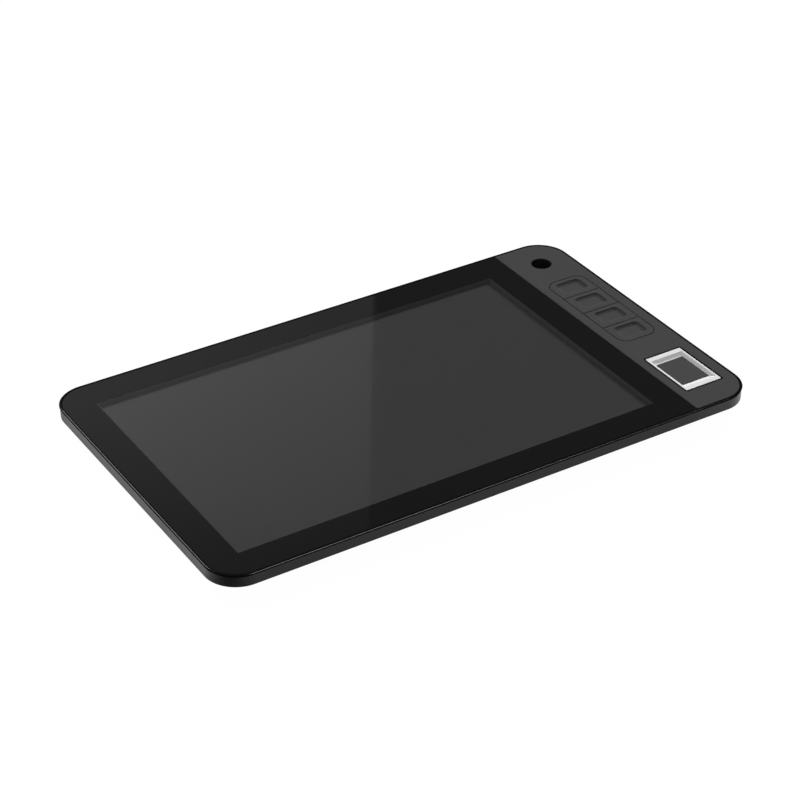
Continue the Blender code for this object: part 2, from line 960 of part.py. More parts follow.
def make_data_socket(material):
    mouth = far_side - socket_recess
    back = mouth - socket_length
    outer_radius = socket_height / 2 - least_radius
    inner_width = socket_width - 2 * socket_shell
    inner_height = socket_height - 2 * socket_shell
    inner_radius = inner_height / 2 - least_radius
    pocket = mouth - socket_pocket
    tongue_radius = socket_tongue_height / 3
    rings = [
        socket_ring(back, socket_width, socket_height, outer_radius),
        socket_ring(mouth, socket_width, socket_height, outer_radius),
        socket_ring(mouth, inner_width, inner_height, inner_radius),
        socket_ring(pocket, inner_width, inner_height, inner_radius),
        socket_ring(pocket, socket_tongue_width, socket_tongue_height, tongue_radius),
        socket_ring(pocket + socket_tongue_length, socket_tongue_width, socket_tongue_height, tongue_radius),
    ]
    piece("data_socket", skin(rings), material)


# Flat cables

def connector(name, material, area, bottom):
    piece(name, prism(area, bottom, bottom + connector_height), material)


def make_cables(material, connector_material):
    edge = display_area.right + seat_gap
    middle_y = (key_group_near + key_group_far) / 2
    above = board_top + film_gap
    under = board_bottom - seat_gap - cable_thickness
    under_socket = board_bottom - film_gap - connector_height

    display_level = above + board_thickness
    display_route = [
        (edge, display_level),
        (edge + board_left_gap / 2, display_level),
        (board_left + cable_thickness, above),
        (cable_landing, above),
    ]
    near, far = middle_y, middle_y + display_cable_width
    piece("display_cable", sheet(display_route, (near, far), cable_thickness, "y"), material)
    area = Area(connector_start, near - connector_side, connector_end, far + connector_side, least_radius)
    connector("display_connector", connector_material, area, above)

    digitizer_level = digitizer_bottom + digitizer_thickness / 2
    digitizer_route = [
        (edge, digitizer_level),
        (edge + board_left_gap / 2, digitizer_level),
        (board_left, under),
        (cable_landing, under),
    ]
    near, far = middle_y - digitizer_cable_width, middle_y
    piece("digitizer_cable", sheet(digitizer_route, (near, far), cable_thickness, "y"), material)
    area = Area(connector_start, near - connector_side, connector_end, far + connector_side, least_radius)
    connector("digitizer_connector", connector_material, area, under_socket)

    reader_level = reader_board_bottom - seat_gap - cable_thickness
    turn = reader_far + board_near_margin / 2
    end = reader_far + board_near_margin + cable_reach
    reader_route = [
        (reader_far - cable_reach, reader_level),
        (reader_far, reader_level),
        (turn, under),
        (end, under),
    ]
    right = reader_x - reader_post_radius - seat_gap
    left = right - reader_cable_width
    piece("fingerprint_cable", sheet(reader_route, (left, right), cable_thickness, "x"), material)
    start = end + film_gap
    area = Area(left - connector_side, start, right + connector_side, start + connector_depth, least_radius)
    connector("fingerprint_connector", connector_material, area, under_socket)


def clear_scene():
    for obj in list(bpy.data.objects):
        bpy.data.objects.remove(obj)


def build():
    clear_scene()
    black_plastic = finish("black_plastic", (0.012, 0.012, 0.013), 0.42)
    panel_plastic = finish("panel_plastic", (0.055, 0.055, 0.057), 0.6)
    clear_glass = finish("clear_glass", (0.9, 0.9, 0.9), 0.04, transmission=1.0)
    tape = finish("black_tape", (0.02, 0.02, 0.02), 0.8)
    foam = finish("dark_foam", (0.03, 0.03, 0.03), 0.9)
    sheet_steel = finish("sheet_steel", (0.5, 0.5, 0.5), 0.35, 1.0)
    silver = finish("satin_silver", (0.72, 0.72, 0.73), 0.3, 1.0)
    display = finish("display_glass", (0.045, 0.045, 0.046), 0.3)
    white_plastic = finish("white_plastic", (0.7, 0.7, 0.7), 0.5)
    board = finish("circuit_board", (0.02, 0.1, 0.05), 0.5)
    rubber = finish("black_rubber", (0.02, 0.02, 0.02), 0.85)
    screw_steel = finish("screw_steel", (0.18, 0.18, 0.19), 0.35, 1.0)
    cable = finish("cable_film", (0.35, 0.17, 0.05), 0.45)
    sensor = finish("sensor_coat", (0.06, 0.06, 0.062), 0.5)

    make_rim_ring(black_plastic)
    make_cover_glass(clear_glass)
    make_border_film(tape)
    make_glass_tape(tape)
    make_side_panel(panel_plastic)
    make_panel_tape(tape)
    make_housing(black_plastic)
    make_rear_cover(black_plastic)
    make_feet(rubber)
    make_screws(screw_steel)
    make_dust_seal(foam)
    make_display(sheet_steel, display, white_plastic)
    make_digitizer(board, sheet_steel)
    make_keys(panel_plastic, white_plastic, black_plastic)
    make_reader(silver, sensor, black_plastic, board)
    make_pen_socket(black_plastic)
    make_main_board(board, sheet_steel, sheet_steel)
    make_cables(cable, white_plastic)


build()
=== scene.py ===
# Looks of a counter signature pad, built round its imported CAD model.
# Pieces are modelled in millimetres and made metres when they are finished.
import math

import bmesh
import bpy
from mathutils import Matrix, Vector


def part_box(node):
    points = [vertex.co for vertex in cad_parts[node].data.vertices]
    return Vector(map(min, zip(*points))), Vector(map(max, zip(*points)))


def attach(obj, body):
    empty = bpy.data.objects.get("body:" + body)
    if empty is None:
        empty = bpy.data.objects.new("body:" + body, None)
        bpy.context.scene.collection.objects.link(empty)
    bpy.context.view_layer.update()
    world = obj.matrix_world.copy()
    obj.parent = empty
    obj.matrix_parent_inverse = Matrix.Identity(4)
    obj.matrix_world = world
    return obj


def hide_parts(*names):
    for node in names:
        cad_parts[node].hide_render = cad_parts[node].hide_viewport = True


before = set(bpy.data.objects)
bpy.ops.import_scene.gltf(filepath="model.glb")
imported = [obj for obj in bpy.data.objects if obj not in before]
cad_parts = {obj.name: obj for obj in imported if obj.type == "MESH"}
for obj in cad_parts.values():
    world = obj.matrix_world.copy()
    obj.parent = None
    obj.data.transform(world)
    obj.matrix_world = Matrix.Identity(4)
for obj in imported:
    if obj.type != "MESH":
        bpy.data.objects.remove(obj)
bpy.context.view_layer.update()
mm = 0.001
print("frame loaded:", len(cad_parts), "nodes")


# Shader nodes

def linear(level):
    # an sRGB level of 0 to 255, as a share of light
    share = level / 255
    if share <= 0.04045:
        return share / 12.92
    return ((share + 0.055) / 1.055) ** 2.4


def even(value):
    # one value for all three channels
    return (value, value, value, 1)


def grey(level):
    return even(linear(level))


def tonePair(look):
    # the darkest and the palest colour of a finish
    return grey(look["tone"] - look["spread"]), grey(look["tone"] + look["spread"])


def plug(tree, place, item):
    if isinstance(item, Signal):
        tree.links.new(item.socket, place)
    else:
        place.default_value = item


class Signal:
    # wraps one output socket, so that sums on it add Math nodes
    def __init__(self, tree, socket):
        self.tree = tree
        self.socket = socket

    def math(self, operation, first, second):
        node = self.tree.nodes.new("ShaderNodeMath")
        node.operation = operation
        plug(self.tree, node.inputs[0], first)
        plug(self.tree, node.inputs[1], second)
        return Signal(self.tree, node.outputs[0])

    def __add__(self, other):
        return self.math("ADD", self, other)

    def __sub__(self, other):
        return self.math("SUBTRACT", self, other)

    def __rsub__(self, other):
        return self.math("SUBTRACT", other, self)

    def __mul__(self, other):
        return self.math("MULTIPLY", self, other)


class Nodes:
    # the node tree of a material or the world, empty at first
    def __init__(self, owner):
        owner.use_nodes = True
        self.owner = owner
        self.tree = owner.node_tree
        self.tree.nodes.clear()

    def add(self, kind, settings=None, sockets=None, out=0):
        node = self.tree.nodes.new("ShaderNode" + kind)
        for name, value in (settings or {}).items():
            if name == "stops":
                self.setStops(node.color_ramp, value)
            else:
                setattr(node, name, value)
        for name, item in (sockets or {}).items():
            plug(self.tree, node.inputs[name], item)
        return Signal(self.tree, node.outputs[out])

    def setStops(self, ramp, stops):
        while len(ramp.elements) < len(stops):
            ramp.elements.new(1)
        for element, (position, colour) in zip(ramp.elements, stops):
            element.position = position
            element.color = colour

    def place(self, stretch=(1, 1, 1), shift=(0, 0, 0)):
        # object coordinates in millimetres, stretched or moved where asked
        source = self.add("TexCoord", out="Object")
        scale = [side / mm for side in stretch]
        sockets = {"Vector": source, "Scale": scale, "Location": shift}
        return self.add("Mapping", None, sockets)

    def noise(self, place, size, detail=2.0, rough=0.5):
        # size is the width of a patch in millimetres
        sockets = {"Vector": place, "Scale": 1 / size, "Detail": detail, "Roughness": rough}
        return self.add("TexNoise", None, sockets)

    def cells(self, place, size, feature="F1"):
        sockets = {"Vector": place, "Scale": 1 / size}
        return self.add("TexVoronoi", {"feature": feature}, sockets, "Distance")

    def axis(self, letter, place=None):
        # one coordinate, in millimetres unless another place is given
        return self.add("SeparateXYZ", None, {"Vector": place or self.place()}, letter)

    def vary(self, noise, low, high):
        # a noise rarely leaves its middle part
        return self.spread(noise, low, high, 0.3, 0.7)

    def spread(self, signal, low, high, start=0.0, end=1.0):
        # runs from low to high while the signal runs from start to end
        sockets = {0: signal, 1: start, 2: end, 3: low, 4: high}
        return self.add("MapRange", {"clamp": True}, sockets)

    def mix(self, share, first, second):
        sockets = {0: share, 6: first, 7: second}
        return self.add("Mix", {"data_type": "RGBA"}, sockets, 2)

    def bump(self, height, depth):
        # depth is in millimetres
        return self.add("Bump", None, {"Height": height, "Distance": depth * mm, "Strength": 1.0})

    def finish(self, shader, kind="Material"):
        output = self.tree.nodes.new("ShaderNodeOutput" + kind)
        self.tree.links.new(shader.socket, output.inputs["Surface"])
        return self.owner

    def principled(self, sockets):
        return self.finish(self.add("BsdfPrincipled", None, sockets))


def newMaterial(name):
    return Nodes(bpy.data.materials.new(name))


def moulded(name, look):
    # moulded plastic: a fine grain, broad faint patches, and a gloss that both of them change
    nodes = newMaterial(name)
    swing = 0.04  # of the roughness, from patch to patch
    grainSize, grainDepth = look["grain"]
    patchSize, patchShare = look["patches"]
    grain = nodes.noise(nodes.place(), grainSize, detail=3.0, rough=0.6)
    patches = nodes.noise(nodes.place(shift=(7, 3, 1)), patchSize)
    share = grain * (1 - patchShare) + patches * patchShare
    roughness = nodes.vary(patches, look["roughness"] - swing, look["roughness"] + swing)
    sockets = {
        "Base Color": nodes.mix(nodes.vary(share, 0.0, 1.0), *tonePair(look)),
        "Roughness": roughness + (grain - 0.5) * look.get("glossSpread", 0.06),
        "Normal": nodes.bump(grain, grainDepth),
        "Specular IOR Level": look.get("shine", 0.5),
    }
    return nodes.principled(sockets)


def metal(name, look):
    # rolled or brushed metal, streaked along one direction
    nodes = newMaterial(name)
    swing = 0.05  # of the roughness, from streak to streak
    streakSize, streakDepth = look["streaks"]
    streaks = nodes.noise(nodes.place(look["stretch"]), streakSize, detail=4.0, rough=0.6)
    cloud = nodes.noise(nodes.place(), look["cloudSize"], detail=3.0)
    share = nodes.vary(streaks * 0.6 + cloud * 0.4, 0.0, 1.0)
    sockets = {
        "Base Color": nodes.mix(share, *tonePair(look)),
        "Metallic": look["metallic"],
        "Roughness": nodes.vary(streaks, look["roughness"] - swing, look["roughness"] + swing),
        "Normal": nodes.bump(streaks, streakDepth),
        "Specular IOR Level": look.get("shine", 0.5),
    }
    return nodes.principled(sockets)


# Modelling

class Plan:
    # a rectangle in plan, with a radius for its near left, near right, far right and far left corner
    def __init__(self, left, near, right, far, radii, steps=8):
        self.left = left
        self.near = near
        self.right = right
        self.far = far
        self.radii = radii if isinstance(radii, tuple) else (radii,) * 4
        self.steps = steps

    def grown(self, margin):
        radii = tuple(max(radius + margin, 0.05) for radius in self.radii)
        sides = (self.left - margin, self.near - margin, self.right + margin, self.far + margin)
        return Plan(*sides, radii, self.steps)

    def inset(self, sides, ends, radius):
        # one margin at the left and right, another at the near and far ends
        left, right = self.left + sides, self.right - sides
        return Plan(left, self.near + ends, right, self.far - ends, radius, self.steps)

    def draw(self, bm, height):
        # a closed wire with round corners, lying flat
        before = set(bm.edges)
        left, near, right, far = self.left, self.near, self.right, self.far
        corners = [(left, near), (right, near), (right, far), (left, far)]
        verts = [bm.verts.new((x, y, height)) for x, y in corners]
        bm.faces.new(verts)
        for vert, radius in zip(verts, self.radii):
            bmesh.ops.bevel(
                bm,
                geom=[vert],
                offset=radius,
                segments=self.steps,
                profile=0.5,
                affect="VERTICES",
                material=-1,
            )
        edges = [edge for edge in bm.edges if edge not in before]
        faces = {face for edge in edges for face in edge.link_faces}
        bmesh.ops.delete(bm, geom=list(faces), context="FACES_ONLY")
        return edges


def planAround(x, y, width, length, radii, steps):
    halfWidth, halfLength = width / 2, length / 2
    return Plan(x - halfWidth, y - halfLength, x + halfWidth, y + halfLength, radii, steps)


class Disc:
    # a circle in plan
    def __init__(self, x, y, radius, steps=48):
        self.x = x
        self.y = y
        self.radius = radius
        self.steps = steps

    def draw(self, bm, height):
        made = bmesh.ops.create_circle(bm, segments=self.steps, radius=self.radius)
        bmesh.ops.translate(bm, vec=(self.x, self.y, height), verts=made["verts"])
        return list({edge for vert in made["verts"] for edge in vert.link_edges})


class Box:
    # where a CAD node stands, in millimetres
    def __init__(self, node):
        low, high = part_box(node)
        self.left, self.near, self.bottom = (value / mm for value in low)
        self.right, self.far, self.top = (value / mm for value in high)
        self.x = (self.left + self.right) / 2
        self.y = (self.near + self.far) / 2
        self.radius = (self.right - self.left) / 2

    def plan(self, radii, steps=8):
        return Plan(self.left, self.near, self.right, self.far, radii, steps)

    def within(self, margins):
        # a plan inside this one, with a margin for each side
        left, near = self.left + margins["left"], self.near + margins["near"]
        right, far = self.right - margins["right"], self.far - margins["far"]
        return Plan(left, near, right, far, margins["radius"], margins["steps"])


def join(bm, rings, closed=False):
    # bridges a run of (shape, height), and gives back its rings. They stand well apart
    # until all are bridged, because level rings could be joined back to front
    apart = 500
    loops = [shape.draw(bm, apart * index) for index, (shape, height) in enumerate(rings)]
    pairs = list(zip(loops, loops[1:]))
    if closed:
        pairs.append((loops[-1], loops[0]))
    for first, second in pairs:
        bmesh.ops.bridge_loops(bm, edges=first + second)
    for index, (loop, (shape, height)) in enumerate(zip(loops, rings)):
        verts = {vert for edge in loop for vert in edge.verts}
        bmesh.ops.translate(bm, vec=(0, 0, height - apart * index), verts=list(verts))
    return loops


def loft(bm, rings, closed=False):
    # a closed solid through a run of rings
    loops = join(bm, rings, closed)
    if not closed:
        bmesh.ops.contextual_create(bm, geom=loops[0])
        bmesh.ops.contextual_create(bm, geom=loops[-1])
    bmesh.ops.recalc_face_normals(bm, faces=bm.faces)
    return loops


def soften(bm, edges, size, steps=3):
    bmesh.ops.bevel(
        bm,
        geom=edges,
        offset=size,
        segments=steps,
        profile=0.5,
        affect="EDGES",
        clamp_overlap=False,
        material=-1,
    )


def edgesAt(bm, height, least=40):
    # the sharp edges that lie at one height
    slack = 0.002
    found = []
    for edge in bm.edges:
        level = all(abs(vert.co.z - height) < slack for vert in edge.verts)
        if level and len(edge.link_faces) == 2 and edge.calc_face_angle() > math.radians(least):
            found.append(edge)
    return found


def fill(bm, edges, normal=(0, 0, 1)):
    # a flat face inside the outer ring and outside the others
    bmesh.ops.triangle_fill(bm, use_beauty=True, use_dissolve=False, edges=edges, normal=normal)


def vertsOf(made):
    return [item for item in made["geom"] if isinstance(item, bmesh.types.BMVert)]


def thicken(bm, depth):
    # makes a plate from the flat faces, downwards
    made = bmesh.ops.extrude_face_region(bm, geom=bm.faces[:])
    bmesh.ops.translate(bm, vec=(0, 0, -depth), verts=vertsOf(made))
    bmesh.ops.recalc_face_normals(bm, faces=bm.faces)


def punch(bm, face, rings):
    # opens holes in one flat face
    edges = list(face.edges) + [edge for ring in rings for edge in ring]
    normal = face.normal.copy()
    bmesh.ops.delete(bm, geom=[face], context="FACES_ONLY")
    fill(bm, edges, normal)


def sink(bm, edges, height):
    # draws a ring to another height, and closes it there
    made = bmesh.ops.extrude_edge_only(bm, edges=edges)
    ends = [item for item in made["geom"] if isinstance(item, bmesh.types.BMEdge)]
    level = Matrix.Translation((0, 0, -height))
    bmesh.ops.scale(bm, vec=(1, 1, 0), space=level, verts=vertsOf(made))
    bmesh.ops.contextual_create(bm, geom=ends)


def faceTowards(bm, direction):
    # the largest face that looks one way
    least = 0.97  # the cosine of 14 degrees
    towards = Vector(direction).normalized()
    facing = [face for face in bm.faces if face.normal.dot(towards) > least]
    return max(facing, key=lambda face: face.calc_area())


def standUp(bm):
    # turns what was drawn flat upright, to face the far side
    turn = Matrix.Rotation(math.pi / 2, 3, "X")
    bmesh.ops.rotate(bm, cent=(0, 0, 0), matrix=turn, verts=bm.verts)


def turned(bm, profile, steps=48):
    # a profile of (radius, height), turned round the upright axis
    verts = [bm.verts.new((radius, 0, height)) for radius, height in profile]
    edges = [bm.edges.new(pair) for pair in zip(verts, verts[1:])]
    bmesh.ops.spin(
        bm,
        geom=verts + edges,
        cent=(0, 0, 0),
        axis=(0, 0, 1),
        angle=2 * math.pi,
        steps=steps,
        use_merge=True,
    )
    bmesh.ops.remove_doubles(bm, verts=bm.verts, dist=0.0005)
    bmesh.ops.recalc_face_normals(bm, faces=bm.faces)


def addObject(name, data):
    obj = bpy.data.objects.new(name, data)
    bpy.context.scene.collection.objects.link(obj)
    return obj


def addMesh(name, bm, material=None):
    mesh = bpy.data.meshes.new(name)
    bm.to_mesh(mesh)
    bm.free()
    if material:
        mesh.materials.append(material)
    return addObject(name, mesh)


def carve(bm, cutter):
    # takes one closed shape out of another
    objects = [addMesh("carved", bm), addMesh("cutter", cutter)]
    cut = objects[0].modifiers.new("carve", "BOOLEAN")
    cut.object = objects[1]
    cut.solver = "EXACT"
    shape = objects[0].evaluated_get(bpy.context.evaluated_depsgraph_get())
    result = bmesh.new()
    result.from_mesh(shape.to_mesh())
    for obj in objects:
        bpy.data.objects.remove(obj)
    return result


def finished(bm, name, material, nodes, body="base"):
    # puts the mesh in the scene in metres, in place of its CAD nodes
    sharpAngle = 32
    bmesh.ops.recalc_face_normals(bm, faces=bm.faces)
    bmesh.ops.scale(bm, vec=(mm, mm, mm), verts=bm.verts)
    obj = addMesh(name, bm, material)
    mesh = obj.data
    mesh.shade_smooth()
    mesh.set_sharp_from_angle(angle=math.radians(sharpAngle))
    shading = obj.modifiers.new("evenShading", "WEIGHTED_NORMAL")
    shading.keep_sharp = True
    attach(obj, body)
    if nodes:
        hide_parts(*nodes)
    print("piece:", name, len(mesh.polygons), "faces")
    return obj


# Camera, lights, floor and world

def makeCamera():
    view = {
        "azimuth": -31.88, "elevation": 32.914, "roll": -0.103, "distance": 1.08566,
        "target": (-0.00456, -0.00494), "lens": 105.68,
    }
    azimuth = math.radians(view["azimuth"])
    elevation = math.radians(view["elevation"])
    flat = math.cos(elevation)
    back = Vector((math.sin(azimuth) * flat, -math.cos(azimuth) * flat, math.sin(elevation)))
    right = Vector((math.cos(azimuth), math.sin(azimuth), 0))
    turn = Matrix((right, back.cross(right), back)).transposed()
    turn = turn @ Matrix.Rotation(math.radians(view["roll"]), 3, "Z")
    target = Vector((*view["target"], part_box("cover_glass")[1].z))
    data = bpy.data.cameras.new("photoCamera")
    data.lens = view["lens"]
    data.clip_end = 100
    camera = addObject("photoCamera", data)
    camera.matrix_world = Matrix.Translation(target + back * view["distance"]) @ turn.to_4x4()
    bpy.context.scene.camera = camera


def makeLamp(name, lamp, distance):
    # turn runs from straight behind towards the right. The level is what white paper
    # that faces the lamp would show
    turn, height = (math.radians(lamp[key]) for key in ("turn", "height"))
    flat = math.cos(height)
    toLamp = Vector((math.sin(turn) * flat, math.cos(turn) * flat, math.sin(height)))
    data = bpy.data.lights.new(name, "AREA")
    data.shape = "RECTANGLE"
    data.size, data.size_y = lamp["size"]
    data.energy = lamp["level"] * (math.pi * distance) ** 2
    obj = addObject(name, data)
    obj.location = toLamp * distance
    obj.rotation_euler = (-toLamp).to_track_quat("-Z", "Y").to_euler()
    obj.visible_diffuse = lamp["lights"]
    obj.visible_glossy = not lamp["lights"]


def makeLights():
    # the softboxes light the pad, and the cards only draw the light lines along its rim
    lamps = {
        "rightSoftbox": {"turn": 60, "height": 30, "size": (1.6, 1.6), "level": 1.1, "lights": True},
        "leftSoftbox": {"turn": -16, "height": 40, "size": (1.6, 1.6), "level": 0.45, "lights": True},
        "frontFill": {"turn": 219, "height": 48, "size": (2.4, 2.4), "level": 0.115, "lights": True},
        "nearCard": {"turn": 139, "height": 55.5, "size": (1.6, 0.8), "level": 0.35, "lights": False},
        "leftCard": {"turn": -14, "height": 43, "size": (1.3, 1.3), "level": 0.3, "lights": False},
    }
    distance = 4.5  # of every lamp, in metres
    for name, lamp in lamps.items():
        makeLamp(name, lamp, distance)


def stagePlate(name, corners, height, material):
    bm = bmesh.new()
    bm.faces.new([bm.verts.new((x, y, height)) for x, y in corners])
    obj = addMesh(name, bm, material)
    return obj


def makeFloor():
    # white to the camera. What its gloss rays see is painted light and shade: dimmer in front of the
    # pad than beside it, and painted shade at the near left corner and behind the pad, which the case
    # wall and rim reflect
    look = {
        "half": 12.0, "paper": 235, "white": 1.02, "clean": 0.965, "frontGlow": 0.66,
        "sideGlow": 1.1, "left": (-150, -141), "right": (110, 150), "corner": (-153, -92, 0),
        "cornerReach": (9, 34), "cornerGlow": 0.06, "behindAcross": (-141, -135),
        "behindAlong": (-75, -55), "behindGlow": 0.15,
    }
    nodes = newMaterial("whitePaper")
    camera = nodes.add("LightPath", out="Is Camera Ray")
    gloss = nodes.add("LightPath", out="Is Glossy Ray")
    across = nodes.axis("X")
    along = nodes.axis("Y")
    beside = nodes.spread(across, 1.0, 0.0, *look["left"])
    beside = beside + nodes.spread(across, 0.0, 1.0, *look["right"])
    sockets = {0: nodes.place(), 1: look["corner"]}
    away = nodes.add("VectorMath", {"operation": "DISTANCE"}, sockets, "Value")
    # painted light beside the pad, and painted shade at its near left corner and behind it, for gloss
    # rays only
    glow = nodes.spread(beside, look["frontGlow"], look["sideGlow"])
    glow = glow * nodes.spread(away, look["cornerGlow"], 1.0, *look["cornerReach"])
    behind = nodes.spread(across, 0.0, 1.0, *look["behindAcross"])
    behind = behind * nodes.spread(along, 0.0, 1.0, *look["behindAlong"])
    glow = glow * nodes.spread(behind, 1.0, look["behindGlow"])
    seen = nodes.mix(gloss, even(look["white"]), nodes.mix(1.0, even(0), glow))
    paper = nodes.add("BsdfDiffuse", None, {"Color": grey(look["paper"])})
    lit = nodes.add("Emission", None, {"Color": seen})
    share = nodes.spread(camera + gloss, 0.0, look["clean"])
    material = nodes.finish(nodes.add("MixShader", None, {0: share, 1: paper, 2: lit}))
    half = look["half"]
    stagePlate("floor", [(-half, -half), (half, -half), (half, half), (-half, half)], 0, material)


def makeWorld():
    # a dim room with a pale skirting, so that the glass stays dark from most sides
    levels = [(0.0, 0.4), (0.2, 0.2), (0.42, 0.06), (0.66, 0.06), (0.85, 0.15)]
    world = bpy.data.worlds.new("studio")
    bpy.context.scene.world = world
    nodes = Nodes(world)
    direction = nodes.add("TexCoord", out="Generated")
    stops = [(height, even(level)) for height, level in levels]
    room = nodes.add("ValToRGB", {"stops": stops}, {"Fac": nodes.axis("Z", direction)})
    camera = nodes.add("LightPath", out="Is Camera Ray")
    shown = nodes.mix(camera, room, even(1))
    nodes.finish(nodes.add("Background", None, {"Color": shown}), "World")


def makeReflectedCard():
    # the dim card that shows in the left part of the glass, with its straight edge.
    # It is brighter towards its far left
    card = {
        "height": 0.602, "edge": [(0.3028, 0.5409), (0.601, 1.0169)], "reach": 0.55, "least": 0.08,
        "strength": 0.25, "far": (0.572, 0.931), "left": (0.24, 0.5), "rightShare": 0.56,
    }
    nodes = newMaterial("dimCard")
    place = nodes.add("TexCoord", out="Object")
    glow = nodes.spread(nodes.axis("Y", place), 0.0, card["strength"], *card["far"])
    glow = glow * nodes.spread(nodes.axis("X", place), 1.0, card["rightShare"], *card["left"])
    glow = glow + card["least"]
    material = nodes.finish(nodes.add("Emission", None, {"Color": nodes.mix(1.0, even(0), glow)}))
    (nearX, nearY), (farX, farY) = card["edge"]
    reach = card["reach"]
    corners = [(nearX - reach, nearY), (nearX, nearY), (farX, farY), (farX - reach, farY)]
    plate = stagePlate("reflectedCard", corners, card["height"], material)
    for kind in ("camera", "diffuse", "shadow", "transmission"):
        setattr(plate, "visible_" + kind, False)


bpy.context.scene.view_settings.view_transform = "Standard"
makeCamera()
makeLights()
makeFloor()
makeWorld()
makeReflectedCard()
print("camera, lights, floor and world")


# Rim, side wall and rear cover

def makeRim():
    rim = {
        "cornerRadius": 16.0, "cornerSteps": 24, "width": 1.16, "crownRadius": 1.3,
        "crownAngle": 53, "crownSteps": 10, "edgeInset": 0.03, "undercut": 0.7,
        "undercutTop": 0.32,
    }
    look = {
        "tone": 10, "spread": 2, "roughness": 0.23, "shine": 0.2, "grain": (0.25, 0.002),
        "patches": (18.0, 0.4),
    }
    at = Box("rim_ring")
    outer = at.plan(rim["cornerRadius"], rim["cornerSteps"])
    inner = outer.grown(-rim["width"])
    leg = outer.grown(-rim["undercut"])
    radius = rim["crownRadius"]
    crest = rim["edgeInset"] + radius * math.sin(math.radians(rim["crownAngle"]))
    crown = []
    for step in range(rim["crownSteps"] + 1):
        # from the outer edge, where it is steepest, up to the level top
        angle = math.radians(rim["crownAngle"] * (1 - step / rim["crownSteps"]))
        inset = crest - radius * math.sin(angle)
        crown.append((outer.grown(-inset), at.top - radius * (1 - math.cos(angle))))
    bm = bmesh.new()
    outside = [(leg, at.bottom), (leg, at.bottom + rim["undercutTop"]), *crown]
    loft(bm, [*outside, (inner, at.top), (inner, at.bottom)], closed=True)
    finished(bm, "rimRing", moulded("rimBlack", look), ["rim_ring"])


def planSocket(at):
    # the mouth of the data socket, not quite half round at its ends
    flatEnd, steps = 0.2, 12
    radius = (at.top - at.bottom - flatEnd) / 2
    return Plan(at.left, at.bottom, at.right, at.top, radius, steps)


def planKeys(radius, steps=8):
    # all four keys, with their flanges
    first, last = Box("key_cap_1"), Box("key_cap_4")
    return Plan(first.left, first.near, first.right, last.far, radius, steps)


def makeCase():
    case = {
        "cornerRadius": 15.6, "cornerSteps": 24, "lip": 0.9, "ledgeBelowTape": 0.15,
        "ledgeThickness": 1.8, "landFall": 0.3, "drop": 0.45, "bottomRound": 0.06, "topRound": 0.1,
        "bayGap": 0.3, "bayRadius": 0.2, "portGap": 0.2, "portFlare": 0.25,
    }
    look = {
        "tone": 20, "spread": 3, "roughness": 0.34, "shine": 0.45, "grain": (0.3, 0.003),
        "patches": (25.0, 0.4),
    }
    at = Box("housing")
    gap, bayRadius = case["bayGap"], case["bayRadius"]
    outer = at.plan(case["cornerRadius"], case["cornerSteps"])
    lip = outer.grown(-case["lip"])
    ledgeTop = Box("glass_tape").bottom - case["ledgeBelowTape"]
    ledgeBottom = ledgeTop - case["ledgeThickness"]
    bottom = at.bottom - case["drop"]
    land = at.top - case["landFall"]
    inside = [(lip, ledgeBottom), (lip, bottom)]
    bm = bmesh.new()
    loops = join(bm, [*inside, (outer, bottom), (outer, at.top), (lip, land), (lip, ledgeTop)])
    pen = Box("pen_socket")
    bays = [
        Disc(pen.x, pen.y, pen.radius + gap),
        Box("display_bezel").plan(bayRadius).grown(gap),
        Box("fingerprint_surround").plan(bayRadius).grown(gap),
        planKeys(bayRadius).grown(gap),
    ]
    around = {ledgeTop: list(loops[5]), ledgeBottom: list(loops[0])}
    for bay in bays:
        upper, lower = join(bm, [(bay, ledgeTop), (bay, ledgeBottom)])
        around[ledgeTop] += upper
        around[ledgeBottom] += lower
    for edges in around.values():
        fill(bm, edges)
    bmesh.ops.recalc_face_normals(bm, faces=bm.faces)
    soften(bm, loops[2], case["bottomRound"])
    soften(bm, loops[3], case["topRound"], 2)

    # the port in the far wall, flared at its mouth, and the room for the socket behind it
    socket = Box("data_socket")
    flare = case["portFlare"]
    mouth = planSocket(socket).grown(case["portGap"])
    flared = mouth.grown(flare)
    cutter = bmesh.new()
    room = [(mouth, gap - socket.near), (mouth, flare - at.far)]
    loft(cutter, [*room, (flared, -at.far), (flared, -at.far - 1)])
    standUp(cutter)
    bm = carve(bm, cutter)
    finished(bm, "caseWall", moulded("caseBlack", look), ["housing"])


